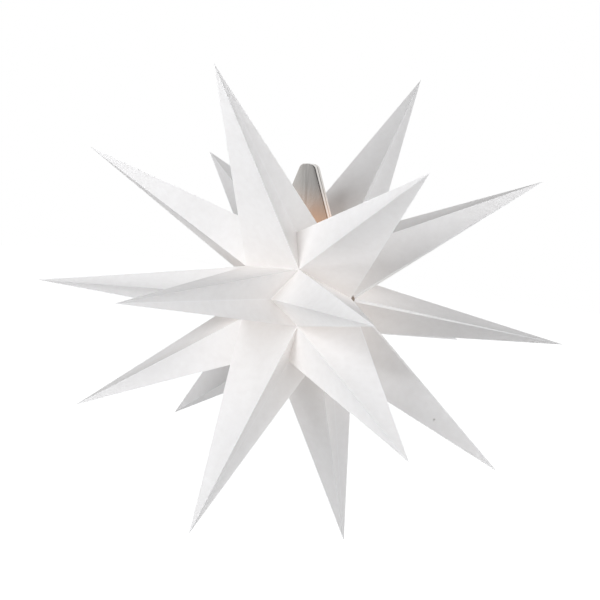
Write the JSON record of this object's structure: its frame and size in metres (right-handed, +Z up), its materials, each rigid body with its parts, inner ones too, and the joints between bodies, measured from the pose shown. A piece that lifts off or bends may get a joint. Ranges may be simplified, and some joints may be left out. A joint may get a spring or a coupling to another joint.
{
  "type": "folded paper advent star lantern",
  "caption": "Hanging lantern star of folded white card with long pointed rays in rows round a fold axis, two metal closing plates at the top seam, and a lampholder with bulb inside.",
  "frame": {"origin": "mouth of the cord tube, in the middle of the closing plates' top edge; the star's centre is 0.136 m below it", "axes": "+Z up along the cord tube, X along the fold axis through both poles, Y square to the closing plates, with -Y at the front plate"},
  "size_m": [0.4488, 0.5746, 0.5062],
  "materials": {
    "paper": "matt white lantern card, lit warm from inside",
    "plate_metal": "polished stainless steel sheet",
    "fastener_steel": "zinc plated",
    "lampholder_plastic": "moulded, satin",
    "contact_brass": "plain brass",
    "bulb_glass": "frosted ball, lit"
  },
  "bodies": {
    "root": {"paper_star": "paper", "closing_plate_front": "plate_metal", "closing_plate_back": "plate_metal", "spacer_left": "fastener_steel", "spacer_right": "fastener_steel", "screw_left": "fastener_steel", "screw_right": "fastener_steel", "nut_left": "fastener_steel", "nut_right": "fastener_steel", "cord_tube": "fastener_steel", "tube_collar": "fastener_steel", "tube_lock_nut": "fastener_steel", "lampholder_cap": "lampholder_plastic", "lampholder_body": "lampholder_plastic", "contact_insert": "lampholder_plastic", "screw_shell": "contact_brass", "centre_contact": "contact_brass", "bulb": "bulb_glass"}
  },
  "joints": []
}
